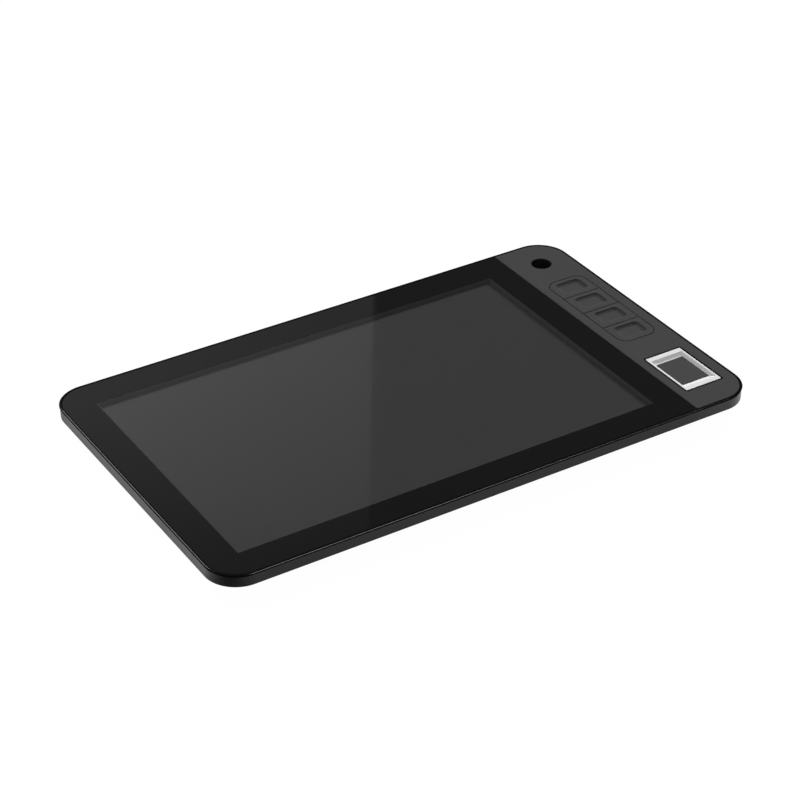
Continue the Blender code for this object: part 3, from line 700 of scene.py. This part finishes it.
def makeRearCover():
    rear = {
        "cornerRadius": 14.8, "inset": 0.8, "headHeight": 1.3, "headGap": 0.3, "cornerSteps": 20,
        "seatHeight": 5.9, "rim": 0.3, "run": 9.9, "edgeRound": 1.6, "rimRound": 0.25,
        "wellRadius": 2.7, "wellSteps": 32, "screwReach": 12, "footGap": 0.3, "footRecess": 0.9,
        "wall": 1.2,
    }
    look = {
        "tone": 24, "spread": 5, "roughness": 0.58, "shine": 0.4, "grain": (0.55, 0.02),
        "patches": (30.0, 0.3), "glossSpread": 0.1,
    }
    body = Box("housing")
    low = Box("rear_cover").bottom
    inset = rear["inset"]
    top = body.plan(rear["cornerRadius"] + inset, rear["cornerSteps"]).grown(-inset)
    seat = rear["seatHeight"]
    slopeTop = seat - rear["rim"]
    bottom = top.grown(-rear["run"])
    bm = bmesh.new()
    loops = join(bm, [(top, seat), (top, slopeTop), (bottom, low)])
    floor = bmesh.ops.contextual_create(bm, geom=loops[2])["faces"][0]
    bmesh.ops.recalc_face_normals(bm, faces=bm.faces)
    if floor.normal.z > 0:
        bmesh.ops.reverse_faces(bm, faces=bm.faces)
    soften(bm, loops[2], rear["edgeRound"], 6)
    soften(bm, loops[1], rear["rimRound"], 2)

    # screw wells in the sloped sides: each mouth is a circle, leant on to its slope
    screws = [Box(f"case_screw_{number}") for number in range(1, 9)]
    fall = (slopeTop - low) / rear["run"]
    reach, radius, steps = rear["screwReach"], rear["wellRadius"], rear["wellSteps"]
    sides = [
        (0, -1, top.near, [at for at in screws if at.y - body.near < reach]),
        (0, 1, top.far, [at for at in screws if body.far - at.y < reach]),
        (-1, 0, top.left, [at for at in screws if at.x - body.left < reach]),
        (1, 0, top.right, [at for at in screws if body.right - at.x < reach]),
    ]
    ceiling = screws[0].bottom + rear["headHeight"] + rear["headGap"]
    for sideX, sideY, edge, group in sides:
        # height on the slope: it falls from the edge of the pan towards the middle
        lean = Matrix.Identity(4)
        lean[2][0] = fall * sideX
        lean[2][1] = fall * sideY
        lean[2][3] = slopeTop - fall * edge * (sideX + sideY)
        mouths = [Disc(at.x, at.y, radius, steps).draw(bm, 0) for at in group]
        verts = {vert for mouth in mouths for side in mouth for vert in side.verts}
        bmesh.ops.transform(bm, matrix=lean, verts=list(verts))
        punch(bm, faceTowards(bm, (fall * sideX, fall * sideY, -1)), mouths)
        for mouth in mouths:
            sink(bm, mouth, ceiling)

    feet = [Box(f"foot_{number}") for number in range(1, 5)]
    footRadius = feet[0].radius + rear["footGap"]
    recesses = [Disc(foot.x, foot.y, footRadius).draw(bm, low) for foot in feet]
    punch(bm, faceTowards(bm, (0, 0, -1)), recesses)
    for recess in recesses:
        sink(bm, recess, low + rear["footRecess"])
    cover = finished(bm, "rearCover", moulded("rearBlack", look), ["rear_cover"])
    shell = cover.modifiers.new("wall", "SOLIDIFY")
    shell.thickness = rear["wall"] * mm
    shell.offset = -1
    cover.modifiers.move(1, 0)


makeRim()
makeCase()
makeRearCover()
print("rim, side wall and rear cover")


# Glass and what shows under it

glassLook = {
    "index": 1.5, "clear": 0.97, "roughness": 0.02, "smudge": 0.03, "smudgeSize": 22.0,
    "smudgeShare": (0.45, 0.7),
}
# how far the glass and the panel reach past their CAD outlines
edgeReach = {"left": 0.2, "near": 0.2, "right": 0.1, "far": -0.12}


def smudges(nodes):
    # the roughness of wiped glass, with faint finger marks in it
    marks = nodes.noise(nodes.place(), glassLook["smudgeSize"], detail=4.0)
    clean = glassLook["roughness"]
    return nodes.spread(marks, clean, clean + glassLook["smudge"], *glassLook["smudgeShare"])


def planWindow():
    # where the black print ends
    margins = {"left": 16.4, "near": 15.8, "right": 47.95, "far": 18.1, "radius": 0.15, "steps": 3}
    return Box("rim_ring").within(margins)


def clearGlass(window):
    # lets light through unbent. It has the gloss of glass in the window, and the print
    # that lies against it has that gloss elsewhere
    nodes = newMaterial("clearGlass")
    across = nodes.axis("X")
    along = nodes.axis("Y")
    inside = across.math("GREATER_THAN", across, window.left)
    inside = inside * across.math("LESS_THAN", across, window.right)
    inside = inside * along.math("GREATER_THAN", along, window.near)
    inside = inside * along.math("LESS_THAN", along, window.far)
    through = nodes.add("BsdfTransparent", None, {"Color": even(glassLook["clear"])})
    gloss = nodes.add("BsdfAnisotropic", None, {"Color": even(1), "Roughness": smudges(nodes)})
    share = nodes.add("Fresnel", None, {"IOR": glassLook["index"]})
    share = share * inside * (1 - nodes.add("NewGeometry", out="Backfacing"))
    return nodes.finish(nodes.add("MixShader", None, {0: share, 1: through, 2: gloss}))


def makeGlass(window):
    glass = {"cornerRadius": 14.8, "squareCorner": 0.3, "cornerSteps": 24, "edgeChamfer": 0.08}
    at = Box("cover_glass")
    square, wide = glass["squareCorner"], glass["cornerRadius"]
    near, far = at.near - edgeReach["near"], at.far + edgeReach["far"]
    radii = (wide, square, square, wide)
    plan = Plan(at.left - edgeReach["left"], near, at.right, far, radii, glass["cornerSteps"])
    bm = bmesh.new()
    loops = loft(bm, [(plan, at.bottom), (plan, at.top)])
    for loop in (loops[1], loops[0]):
        soften(bm, loop, glass["edgeChamfer"], 1)
    finished(bm, "coverGlass", clearGlass(window), ["cover_glass"])
    return plan, at.top


def makeBorder(plan, top, window):
    # the black print, which glass shows close under its surface, with the window in it
    border = {"drop": 0.03, "thickness": 0.06, "edgeInset": 0.12}
    look = {"tone": 19, "spread": 1, "mottle": 25.0}
    nodes = newMaterial("borderBlack")
    mottle = nodes.noise(nodes.place(), look["mottle"], detail=4.0)
    colour = nodes.mix(mottle, *tonePair(look))
    nodes.principled({"Base Color": colour, "Roughness": smudges(nodes), "IOR": glassLook["index"]})
    bm = bmesh.new()
    high = top - border["drop"]
    fill(bm, plan.grown(-border["edgeInset"]).draw(bm, high) + window.draw(bm, high))
    thicken(bm, border["thickness"])
    finished(bm, "borderPrint", nodes.owner, ["border_film"])
    return high - border["thickness"]


def makeDisplayFinish():
    # an unlit display: dark grey, with a fine pixel mask under a smooth polariser
    look = {
        "tone": 61.5, "spread": 1, "cloud": 60.0, "roughness": 0.07, "shine": 0.35, "pixel": 0.2,
        "mortar": 0.02,
    }
    nodes = newMaterial("unlitDisplay")
    cloud = nodes.noise(nodes.place(), look["cloud"], detail=1.0)
    sockets = {
        "Vector": nodes.place(),
        "Scale": 1.0,
        "Brick Width": look["pixel"],
        "Row Height": look["pixel"],
        "Mortar Size": look["mortar"],
        "Mortar Smooth": 0.5,
    }
    mask = nodes.add("TexBrick", {"offset": 0.0}, sockets, "Fac")
    share = nodes.spread(cloud * 0.7 + mask * 0.3, 0.0, 1.0, 0.2, 0.8)
    dark, pale = tonePair(look)
    sockets = {
        "Base Color": nodes.mix(share, pale, dark),
        "Roughness": nodes.spread(cloud, look["roughness"], look["roughness"] + 0.03),
        "Specular IOR Level": look["shine"],
    }
    return nodes.principled(sockets)


def makeDisplay(window):
    # the display, with the raised pane that shows in the window
    display = {"blockRadius": 0.3, "paneLift": 0.75, "edgeRound": 0.08}
    at = Box("display_cell")
    block = at.plan(display["blockRadius"], window.steps)
    paneTop = at.top + display["paneLift"]
    bm = bmesh.new()
    loops = loft(bm, [(block, at.bottom), (block, at.top), (window, at.top), (window, paneTop)])
    for loop in (loops[1], loops[3]):
        soften(bm, loop, display["edgeRound"], 2)
    finished(bm, "displayPane", makeDisplayFinish(), ["display_cell"])
    return paneTop


def makeWindowSeal(window, top, paneTop):
    # the dark frame round the display. Its sloped face shows inside the far and right edges
    # of the window
    seal = {
        "lip": 1.6, "lipHeight": 0.06, "skirt": 0.12, "gap": 0.02, "shoulder": 0.3,
        "outerRadius": 0.3,
    }
    look = {
        "tone": 52, "spread": 2, "roughness": 0.7, "shine": 0.2, "grain": (0.3, 0.004),
        "patches": (20.0, 0.5),
    }
    at = Box("dust_seal")
    outer = at.plan(seal["outerRadius"], window.steps)
    lip = window.grown(-seal["lip"])
    skirt = window.grown(seal["skirt"])
    shoulder = window.grown(seal["shoulder"])
    low = paneTop + seal["gap"]
    high = top - seal["gap"]
    bm = bmesh.new()
    rings = [
        (lip, low),
        (lip, low + seal["lipHeight"]),
        (window, high),
        (skirt, high),
        (skirt, at.top),
        (outer, at.top),
        (outer, at.bottom),
        (shoulder, at.bottom),
        (shoulder, low),
    ]
    loft(bm, rings, closed=True)
    finished(bm, "windowSeal", moulded("sealBlack", look), ["dust_seal"])


windowPlan = planWindow()
printBottom = makeBorder(*makeGlass(windowPlan), windowPlan)
makeWindowSeal(windowPlan, printBottom, makeDisplay(windowPlan))
print("glass, border and window")


# Side panel with its keys, fingerprint reader and pen hole

panelLook = {
    "tone": 69, "spread": 4, "roughness": 0.46, "shine": 0.01, "grain": (0.35, 0.006),
    "patches": (30.0, 0.2), "glossSpread": 0.1,
}
penHole = {"shift": 0.65, "steps": 64}  # the hole stands that far towards the near side
keyLayout = {"flange": 0.9, "gap": 0.35, "groupRadius": 5.5, "squareCorner": 0.2, "cornerSteps": 12}


def planReader():
    # the part of the surround that shows
    margins = {"left": 1.1, "near": 0.5, "right": 1.25, "far": 1.9, "radius": 0.35, "steps": 10}
    return Box("fingerprint_surround").within(margins)


def makeSidePanel(material):
    panel = {
        "cornerRadius": 14.8, "squareCorner": 0.4, "cornerSteps": 24, "edgeRound": 0.33,
        "keysRound": 0.22, "holeRadius": 5.25, "holeRound": 0.08, "readerGap": 0.95,
        "readerRound": 0.1,
    }
    at = Box("side_panel")
    square, wide = panel["squareCorner"], panel["cornerRadius"]
    near, far = at.near - edgeReach["near"], at.far + edgeReach["far"]
    radii = (square, wide, wide, square)
    outer = Plan(at.left, near, at.right + edgeReach["right"], far, radii, panel["cornerSteps"])
    groupRadius = keyLayout["groupRadius"]
    keys = planKeys(groupRadius, keyLayout["cornerSteps"]).inset(keyLayout["flange"], 0, groupRadius)
    opening = planReader().grown(panel["readerGap"])
    pen = Box("pen_socket")
    bm = bmesh.new()
    hole = Disc(pen.x, pen.y - penHole["shift"], panel["holeRadius"], penHole["steps"])
    shapes = (outer, keys.grown(keyLayout["gap"]), opening, hole)
    rims = [shape.draw(bm, at.top) for shape in shapes]
    fill(bm, [edge for rim in rims for edge in rim])
    thicken(bm, at.top - at.bottom)
    rounds = (panel["edgeRound"], panel["keysRound"], panel["readerRound"], panel["holeRound"])
    for rim, size in zip(rims, rounds):
        soften(bm, rim, size)
    finished(bm, "sidePanel", material, ["side_panel"])
    return opening


def makeKey(number, material):
    key = {
        "edgeRound": 0.15, "flangeThickness": 0.5, "dishWidth": 14.5, "dishLength": 10.5,
        "dishShift": 0.4, "dishRadius": 2.5, "dishSteps": ((0.6, 0.6), (1.7, 1.1)),
        "dishRimRound": 0.18, "dishWallRound": 0.25, "dishFloorRound": 0.45,
    }
    at = Box(f"key_cap_{number}")
    flange = keyLayout["flange"]
    wide, square = keyLayout["groupRadius"], keyLayout["squareCorner"]
    nearRadius = wide if number == 1 else square
    farRadius = wide if number == 4 else square
    radii = (nearRadius, nearRadius, farRadius, farRadius)
    steps = keyLayout["cornerSteps"]
    cap = Plan(at.left + flange, at.near, at.right - flange, at.far, radii, steps)
    middle = at.y + key["dishShift"]
    dish = planAround(at.x, middle, key["dishWidth"], key["dishLength"], key["dishRadius"], steps)
    flangeTop = at.bottom + key["flangeThickness"]
    bm = bmesh.new()
    rings = [
        (cap, at.bottom),
        (cap, flangeTop),
        (cap, at.top),
        (dish, at.top),
        *[(dish.grown(-inset), at.top - depth) for inset, depth in key["dishSteps"]],
    ]
    loops = loft(bm, rings)
    # the flanges that hold the cap under the panel
    for side in (-1, 1):
        low = [face for face in bm.faces if face.calc_center_median().z < flangeTop]
        ends = [face for face in low if face.normal.x * side > 0.99]
        made = bmesh.ops.extrude_face_region(bm, geom=ends)
        bmesh.ops.delete(bm, geom=ends, context="FACES")
        bmesh.ops.translate(bm, vec=(side * flange, 0, 0), verts=vertsOf(made))
    soften(bm, loops[2], key["edgeRound"])
    soften(bm, loops[3], key["dishRimRound"], 4)
    soften(bm, loops[4], key["dishWallRound"], 4)
    soften(bm, loops[5], key["dishFloorRound"], 5)
    finished(bm, f"keyCap{number}", material, [f"key_cap_{number}"], f"key_{number}")


def makeReader(opening):
    reader = {
        "flangeRadius": 1.4, "flangeThickness": 0.6, "sideFlat": 1.0, "endFlat": 2.9,
        "slopeRadius": 0.2, "sideFoot": 0.1, "endFoot": 0.6, "footDrop": 0.15, "mouthDrop": 0.2,
        "padNear": 0.5, "openingGap": 0.3, "padRadius": 0.25, "edgeRound": 0.12,
        "creaseRound": 0.08, "padFlange": 1.6, "padFlangeRadius": 0.2, "padFlangeThickness": 0.9,
        "padRound": 0.12, "shadeStripGap": 0.06, "shadeStripDrop": 0.12,
    }
    look = {
        "tone": 228, "spread": 4, "metallic": 0.02, "roughness": 0.5, "shine": 0.15,
        "stretch": (1.0, 0.25, 1.0), "streaks": (0.4, 0.003), "cloudSize": 6.0,
    }
    padLook = {
        "tone": 72.5, "spread": 3, "roughness": 0.46, "shine": 0.01, "grain": (0.3, 0.004),
        "patches": (8.0, 0.3),
    }
    # near black, as painted shade for the gap round the surround
    shadeStripLook = {
        "tone": 8, "spread": 2, "roughness": 0.7, "shine": 0.05, "grain": (0.3, 0.004),
        "patches": (8.0, 0.3),
    }
    at = Box("fingerprint_surround")
    pad = Box("fingerprint_sensor")
    outer = planReader()
    steps = outer.steps
    flange = at.plan(reader["flangeRadius"], steps)
    flats = outer.inset(reader["sideFlat"], reader["endFlat"], reader["slopeRadius"])
    padPlan = pad.plan(reader["padFlange"] + reader["padRadius"], steps).grown(-reader["padFlange"])
    padPlan.near -= reader["padNear"]
    mouth = padPlan.grown(reader["openingGap"])
    foot = mouth.inset(-reader["sideFoot"], -reader["endFoot"], reader["slopeRadius"])
    flangeTop = at.bottom + reader["flangeThickness"]
    bm = bmesh.new()
    rings = [
        (flange, at.bottom),
        (flange, flangeTop),
        (outer, flangeTop),
        (outer, at.top),
        (flats, at.top),
        (foot, pad.top - reader["footDrop"]),
        (mouth, pad.top - reader["mouthDrop"]),
        (mouth, at.bottom),
    ]
    loops = loft(bm, rings, closed=True)
    soften(bm, loops[3], reader["edgeRound"], 4)
    for loop in loops[4:7]:
        soften(bm, loop, reader["creaseRound"])
    finished(bm, "readerSurround", metal("satinSilver", look), ["fingerprint_surround"])

    bm = bmesh.new()
    flangeLevel = pad.bottom + reader["padFlangeThickness"]
    wide = pad.plan(reader["padFlangeRadius"], steps)
    base = [(wide, pad.bottom), (wide, flangeLevel)]
    loops = loft(bm, [*base, (padPlan, flangeLevel), (padPlan, pad.top)])
    soften(bm, loops[3], reader["padRound"])
    finished(bm, "sensorPad", moulded("sensorCoat", padLook), ["fingerprint_sensor"])

    # a near-black strip fills the gap between the surround and the panel: painted shade, so that the
    # gap shows dark
    gap = reader["shadeStripGap"]
    low = flangeTop + gap
    high = at.top - reader["shadeStripDrop"]
    inner, edge = outer.grown(gap), opening.grown(-gap)
    bm = bmesh.new()
    loft(bm, [(inner, low), (edge, low), (edge, high), (inner, high)], closed=True)
    finished(bm, "readerShadeStrip", moulded("paintedShadeBlack", shadeStripLook), [])


def makePenSocket():
    cup = {
        "wall": 1.0, "flange": 1.3, "flangeThickness": 0.6, "tipRadius": 1.0, "tipDepth": 0.5,
        "floorRound": 0.4, "lipDrop": 0.25, "lipOuter": 5.19, "lipInner": 5.05, "lipTaper": 0.4,
        "lipRound": 0.05,
    }
    look = {
        "tone": 36, "spread": 3, "roughness": 0.35, "grain": (0.4, 0.003), "patches": (10.0, 0.4),
    }
    at = Box("pen_socket")
    outer = at.radius - cup["flange"]
    inner = outer - cup["wall"]
    floor = at.bottom + cup["wall"]
    flangeBottom = at.top - cup["flangeThickness"]
    tip = floor - cup["tipDepth"]
    lipTop = Box("side_panel").top - cup["lipDrop"]
    profile = [
        (0, tip),
        (cup["tipRadius"], tip),
        (2 * cup["tipRadius"], floor),
        (inner, floor),
        (inner, at.top - cup["lipTaper"]),
        (cup["lipInner"], at.top),
        (cup["lipInner"], lipTop),
        (cup["lipOuter"], lipTop),
        (cup["lipOuter"], at.top),
        (at.radius, at.top),
        (at.radius, flangeBottom),
        (outer, flangeBottom),
        (outer, at.bottom),
        (0, at.bottom),
    ]
    bm = bmesh.new()
    turned(bm, profile, penHole["steps"])
    slack = 0.05
    level = edgesAt(bm, floor)
    corner = [edge for edge in level if min(vert.co.xy.length for vert in edge.verts) > inner - slack]
    soften(bm, corner, cup["floorRound"], 4)
    soften(bm, edgesAt(bm, lipTop), cup["lipRound"])
    bmesh.ops.translate(bm, vec=(at.x, at.y - penHole["shift"], 0), verts=bm.verts)
    finished(bm, "penSocket", moulded("socketBlack", look), ["pen_socket"])


panelMaterial = moulded("panelGrey", panelLook)
keyMaterial = moulded("keyGrey", {**panelLook, "tone": 69.5, "patches": (8.0, 0.2)})
readerOpening = makeSidePanel(panelMaterial)
for number in range(1, 5):
    makeKey(number, keyMaterial)
makeReader(readerOpening)
makePenSocket()
print("side panel, keys, reader and pen socket")


# Feet, screws and the data socket

def makeFeet():
    foot = {
        "edgeRound": 0.45, "edgeAngle": 60, "dimpleRadius": 3.4, "dimpleDepth": 0.15,
        "dimpleSlope": 0.3,
    }
    look = {
        "tone": 26, "spread": 5, "roughness": 0.8, "shine": 0.3, "grain": (0.25, 0.01),
        "patches": (4.0, 0.3),
    }
    material = moulded("footRubber", look)
    for number in range(1, 5):
        at = Box(f"foot_{number}")
        dimple = at.bottom + foot["dimpleDepth"]
        profile = [
            (0, dimple),
            (foot["dimpleRadius"], dimple),
            (foot["dimpleRadius"] + foot["dimpleSlope"], at.bottom),
            (at.radius, at.bottom),
            (at.radius, at.top),
            (0, at.top),
        ]
        bm = bmesh.new()
        turned(bm, profile)
        soften(bm, edgesAt(bm, at.bottom, foot["edgeAngle"]), foot["edgeRound"], 4)
        bmesh.ops.translate(bm, vec=(at.x, at.y, 0), verts=bm.verts)
        finished(bm, f"rubberFoot{number}", material, [f"foot_{number}"])


def makeCaseScrews():
    screw = {
        "headHeight": 1.3, "shankRadius": 1.1, "edge": 0.25, "steps": 24, "recessRadius": 1.25,
        "recessSides": 6, "recessDepth": 0.75,
    }
    look = {
        "tone": 95, "spread": 8, "metallic": 1.0, "roughness": 0.35, "stretch": (1, 1, 1),
        "streaks": (0.3, 0.002), "cloudSize": 1.5,
    }
    material = metal("blackenedSteel", look)
    for number in range(1, 9):
        at = Box(f"case_screw_{number}")
        headTop = at.bottom + screw["headHeight"]
        rings = [
            (at.radius - screw["edge"], at.bottom),
            (at.radius, at.bottom + screw["edge"]),
            (at.radius, headTop),
            (screw["shankRadius"], headTop),
            (screw["shankRadius"], at.top - screw["edge"]),
            (screw["shankRadius"] - screw["edge"], at.top),
        ]
        bm = bmesh.new()
        loops = join(bm, [(Disc(at.x, at.y, size, screw["steps"]), height) for size, height in rings])
        bmesh.ops.contextual_create(bm, geom=loops[-1])
        recess = Disc(at.x, at.y, screw["recessRadius"], screw["recessSides"]).draw(bm, at.bottom)
        fill(bm, loops[0] + recess)
        sink(bm, recess, at.bottom + screw["recessDepth"])
        finished(bm, f"caseScrew{number}", material, [f"case_screw_{number}"])


def makeDataSocket():
    socket = {
        "shell": 0.35, "pocket": 5.2, "tongueWidth": 6.7, "tongueHeight": 0.7, "tongueLength": 4.2,
        "tongueRadius": 0.25, "edgeRound": 0.08,
    }
    look = {
        "tone": 170, "spread": 8, "metallic": 1.0, "roughness": 0.3, "stretch": (0.2, 1, 1),
        "streaks": (0.3, 0.002), "cloudSize": 3.0,
    }
    at = Box("data_socket")
    outer = planSocket(at)
    inner = outer.grown(-socket["shell"])
    middle = (at.bottom + at.top) / 2
    width, height = socket["tongueWidth"], socket["tongueHeight"]
    tongue = planAround(at.x, middle, width, height, socket["tongueRadius"], outer.steps)
    pocket = at.far - socket["pocket"]
    bm = bmesh.new()
    rings = [
        (outer, -at.near),
        (outer, -at.far),
        (inner, -at.far),
        (inner, -pocket),
        (tongue, -pocket),
        (tongue, -(pocket + socket["tongueLength"])),
    ]
    loops = loft(bm, rings)
    for loop in loops[1:3]:
        soften(bm, loop, socket["edgeRound"], 2)
    standUp(bm)
    finished(bm, "dataSocket", metal("socketSteel", look), ["data_socket"])


makeFeet()
makeCaseScrews()
makeDataSocket()
print("feet, screws and data socket")


# Finishes of the CAD parts that stay

def makeBoardFinish():
    # green board with raised copper tracks under the mask
    board = {
        "mask": (0.006, 0.05, 0.02, 1), "track": (0.015, 0.1, 0.045, 1),
        "pad": (0.5, 0.36, 0.14, 1), "trackSize": 1.6, "trackShare": (0.05, 0.09), "padSize": 1.1,
        "padShare": (0.1, 0.14), "relief": 0.03,
    }
    nodes = newMaterial("greenBoard")
    tracks = nodes.cells(nodes.place((1, 0.35, 1)), board["trackSize"], "DISTANCE_TO_EDGE")
    pads = nodes.cells(nodes.place(), board["padSize"])
    line = nodes.spread(tracks, 1.0, 0.0, *board["trackShare"])
    dot = nodes.spread(pads, 1.0, 0.0, *board["padShare"])
    sockets = {
        "Base Color": nodes.mix(dot, nodes.mix(line, board["mask"], board["track"]), board["pad"]),
        "Roughness": nodes.spread(dot, 0.38, 0.25),
        "Normal": nodes.bump(line + dot, board["relief"]),
    }
    return nodes.principled(sockets)


def makeCableFinish():
    # amber film with copper tracks along the cable
    cable = {
        "film": (0.35, 0.13, 0.02, 1), "track": (0.45, 0.2, 0.06, 1), "waveScale": 0.5,
        "relief": 0.02,
    }
    nodes = newMaterial("amberFilm")
    sockets = {"Vector": nodes.place(), "Scale": cable["waveScale"]}
    wave = nodes.add("TexWave", {"bands_direction": "Y"}, sockets, 1)
    line = nodes.spread(wave, 0.0, 1.0, 0.4, 0.6)
    sockets = {
        "Base Color": nodes.mix(line, cable["film"], cable["track"]),
        "Roughness": nodes.spread(line, 0.3, 0.4),
        "Normal": nodes.bump(line, cable["relief"]),
    }
    return nodes.principled(sockets)


def dressNodes():
    plain = {"grain": (0.3, 0.005), "patches": (12.0, 0.4), "spread": 4}
    rolled = {"stretch": (0.15, 1, 1), "streaks": (0.5, 0.003), "cloudSize": 15.0, "spread": 6}
    tape = moulded("blackTape", {**plain, "tone": 20, "roughness": 0.7})
    steel = metal("rolledSteel", {**rolled, "tone": 180, "metallic": 1.0, "roughness": 0.35})
    nickel = metal("nickelSteel", {**rolled, "tone": 190, "metallic": 1.0, "roughness": 0.28})
    white = moulded("whitePlastic", {**plain, "tone": 215, "roughness": 0.45})
    black = moulded("blackPlastic", {**plain, "tone": 22, "roughness": 0.45})
    finishes = [
        (tape, ["glass_tape", "panel_tape"]),
        (steel, ["display_bezel", "shield_plate"]),
        (nickel, ["processor_shield", "board_screw"]),
        (white, ["display_backlight", "switch_plunger"]),
        (white, ["display_connector", "digitizer_connector", "fingerprint_connector"]),
        (black, ["switch_body", "fingerprint_module"]),
        (makeBoardFinish(), ["digitizer_board", "fingerprint_board", "main_board"]),
        (makeCableFinish(), ["display_cable", "digitizer_cable", "fingerprint_cable"]),
    ]
    materials = {kind: material for material, kinds in finishes for kind in kinds}
    for name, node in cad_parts.items():
        if node.hide_render:
            continue
        for slot in node.material_slots:
            slot.material = materials[name.rstrip("0123456789").rstrip("_")]


dressNodes()
print("finishes of the parts inside")

bpy.context.view_layer.update()
